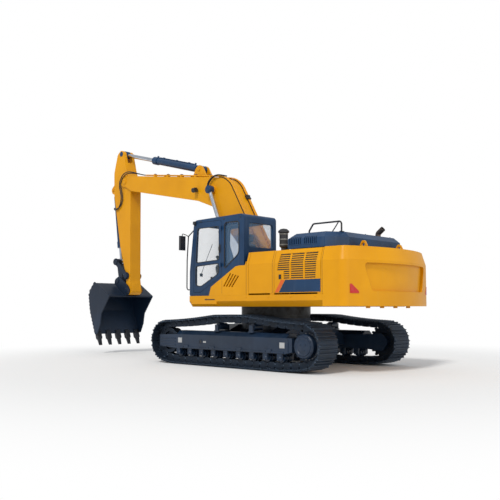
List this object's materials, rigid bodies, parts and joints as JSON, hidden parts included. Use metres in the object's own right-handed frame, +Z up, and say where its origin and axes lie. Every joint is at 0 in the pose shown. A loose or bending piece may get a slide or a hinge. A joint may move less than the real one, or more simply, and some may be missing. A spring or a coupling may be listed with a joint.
{
  "type": "crawler excavator",
  "caption": "Crawler excavator with a raised one-piece boom, hanging arm and bucket, cab, louvred body and curved counterweight.",
  "frame": {"origin": "on the ground, on the slewing axis midway between the tracks", "axes": "+X forwards towards the bucket, +Y left, the cab's side, +Z up"},
  "size_m": [9.5996, 3.265, 5.685],
  "materials": {
    "yellow_paint": "satin enamel with dust and worn edges",
    "dark_paint": "dark blue-grey satin enamel",
    "frame_paint": "dark slate enamel, dusty",
    "bucket_paint": "near-black enamel worn to steel at its edges",
    "rail_paint": "black enamel on tube",
    "track_steel": "dark forged steel polished on its lugs",
    "tooth_steel": "cast steel with bright worn tips",
    "engine_iron": "plain cast iron",
    "bearing_steel": "greased machined steel",
    "cooler_metal": "dull finned metal",
    "exhaust_steel": "heat-stained steel",
    "chrome_rod": "ground hard chrome",
    "window_glass": "tinted flat glass",
    "seat_fabric": "dark woven seat cover",
    "trim_plastic": "black moulded plastic"
  },
  "bodies": {
    "undercarriage": {"centre_frame": "frame_paint", "track_frame_left": "frame_paint", "track_frame_right": "frame_paint", "track_left": "track_steel", "track_right": "track_steel", "sprockets": "track_steel", "final_drives": "frame_paint", "idlers": "track_steel", "bottom_rollers": "frame_paint", "carrier_rollers": "frame_paint", "slew_ring_lower": "bearing_steel"},
    "upper": {"slew_ring_upper": "bearing_steel", "upper_frame": "yellow_paint", "belly_pans": "dark_paint", "left_front_panel": "yellow_paint", "left_bay_frame": "yellow_paint", "tool_box_and_step": "yellow_paint", "fuel_tank": "yellow_paint", "oil_tank": "yellow_paint", "right_bay_frame": "yellow_paint", "counterweight": "yellow_paint", "lifting_eyes": "yellow_paint", "cab_shell": "dark_paint", "cab_glass": "window_glass", "operator_seat": "seat_fabric", "cab_controls": "trim_plastic", "engine_block": "engine_iron", "cooler_pack": "cooler_metal", "pre_cleaner": "trim_plastic", "left_mirror_and_rail": "rail_paint", "deck_rail": "rail_paint"},
    "cab_door": {"cab_door": "dark_paint", "cab_door_glass": "window_glass"},
    "left_service_door": {"left_service_door": "yellow_paint"},
    "grille_door": {"grille_door": "yellow_paint"},
    "pump_door": {"pump_door": "yellow_paint"},
    "engine_hood": {"engine_hood": "dark_paint", "hood_rail": "rail_paint", "exhaust_pipe": "exhaust_steel"},
    "boom": {"boom": "yellow_paint", "boom_lines": "yellow_paint", "boom_lamp": "trim_plastic"},
    "boom_cylinder_barrels": {"boom_cylinder_barrels": "dark_paint"},
    "boom_cylinder_rods": {"boom_cylinder_rods": "chrome_rod"},
    "arm_cylinder_barrel": {"arm_cylinder_barrel": "dark_paint"},
    "arm_cylinder_rod": {"arm_cylinder_rod": "chrome_rod"},
    "arm": {"arm": "yellow_paint"},
    "bucket_cylinder_barrel": {"bucket_cylinder_barrel": "dark_paint"},
    "bucket_cylinder_rod": {"bucket_cylinder_rod": "chrome_rod"},
    "rocker": {"rocker_plates": "bucket_paint"},
    "bucket_link": {"bucket_link": "bucket_paint"},
    "bucket": {"bucket": "bucket_paint", "bucket_teeth": "tooth_steel"}
  },
  "joints": [
    {"name": "slew", "type": "hinge", "parent": "undercarriage", "child": "upper", "pos_m": [0, 0, 1.15], "axis": [0, 0, 1], "continuous": true},
    {"name": "boom_lift", "type": "hinge", "parent": "upper", "child": "boom", "pos_m": [0.03, 0, 1.88], "axis": [0, -1, 0], "range_deg": [-60, 25]},
    {"name": "arm_crowd", "type": "hinge", "parent": "boom", "child": "arm", "pos_m": [5.45, 0, 4.77], "axis": [0, 1, 0], "range_deg": [-92, 28]},
    {"name": "bucket_curl", "type": "hinge", "parent": "arm", "child": "bucket", "pos_m": [5.237, 0, 1.723], "axis": [0, 1, 0], "range_deg": [-12, 145]},
    {"name": "cab_door_swing", "type": "hinge", "parent": "upper", "child": "cab_door", "pos_m": [0.262, 1.5, 2.35], "axis": [0, 0, 1], "range_deg": [0, 160]},
    {"name": "left_service_door_swing", "type": "hinge", "parent": "upper", "child": "left_service_door", "pos_m": [-1.214, 1.495, 1.95], "axis": [0, 0, 1], "range_deg": [0, 110]},
    {"name": "grille_door_swing", "type": "hinge", "parent": "upper", "child": "grille_door", "pos_m": [-2.422, 1.495, 1.95], "axis": [0, 0, 1], "range_deg": [0, 100]},
    {"name": "pump_door_swing", "type": "hinge", "parent": "upper", "child": "pump_door", "pos_m": [-2.422, -1.495, 1.95], "axis": [0, 0, -1], "range_deg": [0, 110]},
    {"name": "hood_lift", "type": "hinge", "parent": "upper", "child": "engine_hood", "pos_m": [-1.52, 0, 2.595], "axis": [0, 1, 0], "range_deg": [0, 55]},
    {"name": "boom_cylinder_swing", "type": "hinge", "parent": "upper", "child": "boom_cylinder_barrels", "pos_m": [0.72, 0, 1.42], "axis": [0, -1, 0], "range_deg": [-65, 28]},
    {"name": "boom_cylinder_stroke", "type": "slide", "parent": "boom_cylinder_barrels", "child": "boom_cylinder_rods", "axis": [0.3877, 0, 0.9218], "range_m": [-0.82, 0.36]},
    {"name": "arm_cylinder_swing", "type": "hinge", "parent": "boom", "child": "arm_cylinder_barrel", "pos_m": [2.47, 0, 4.725], "axis": [0, -1, 0], "range_deg": [-3, 2]},
    {"name": "arm_cylinder_stroke", "type": "slide", "parent": "arm_cylinder_barrel", "child": "arm_cylinder_rod", "axis": [0.9657, 0, 0.2595], "range_m": [-1.22, 0.39]},
    {"name": "bucket_cylinder_swing", "type": "hinge", "parent": "arm", "child": "bucket_cylinder_barrel", "pos_m": [6.13, 0, 4.62], "axis": [0, -1, 0], "range_deg": [-2, 2]},
    {"name": "bucket_cylinder_stroke", "type": "slide", "parent": "bucket_cylinder_barrel", "child": "bucket_cylinder_rod", "axis": [-0.1483, 0, -0.9889], "range_m": [-0.12, 1.19]},
    {"name": "rocker_swing", "type": "hinge", "parent": "arm", "child": "rocker", "pos_m": [5.317, 0, 2.123], "axis": [0, 1, 0], "range_deg": [-12, 124]},
    {"name": "link_swing", "type": "hinge", "parent": "bucket", "child": "bucket_link", "pos_m": [5.707, 0, 2.003], "axis": [0, -1, 0], "range_deg": [-11, 107]}
  ],
  "couplings": [
    {"joint": "boom_cylinder_swing", "follows": "boom_lift", "ratio": 1.0444},
    {"joint": "boom_cylinder_stroke", "follows": "boom_lift", "m_per_rad": 0.7572},
    {"joint": "arm_cylinder_swing", "follows": "arm_crowd", "ratio": 0.0157},
    {"joint": "arm_cylinder_stroke", "follows": "arm_crowd", "m_per_rad": 0.7443},
    {"joint": "bucket_cylinder_swing", "follows": "bucket_curl", "ratio": 0.0019},
    {"joint": "bucket_cylinder_stroke", "follows": "bucket_curl", "m_per_rad": 0.4609},
    {"joint": "rocker_swing", "follows": "bucket_curl", "ratio": 0.8346},
    {"joint": "link_swing", "follows": "bucket_curl", "ratio": 0.7168}
  ]
}
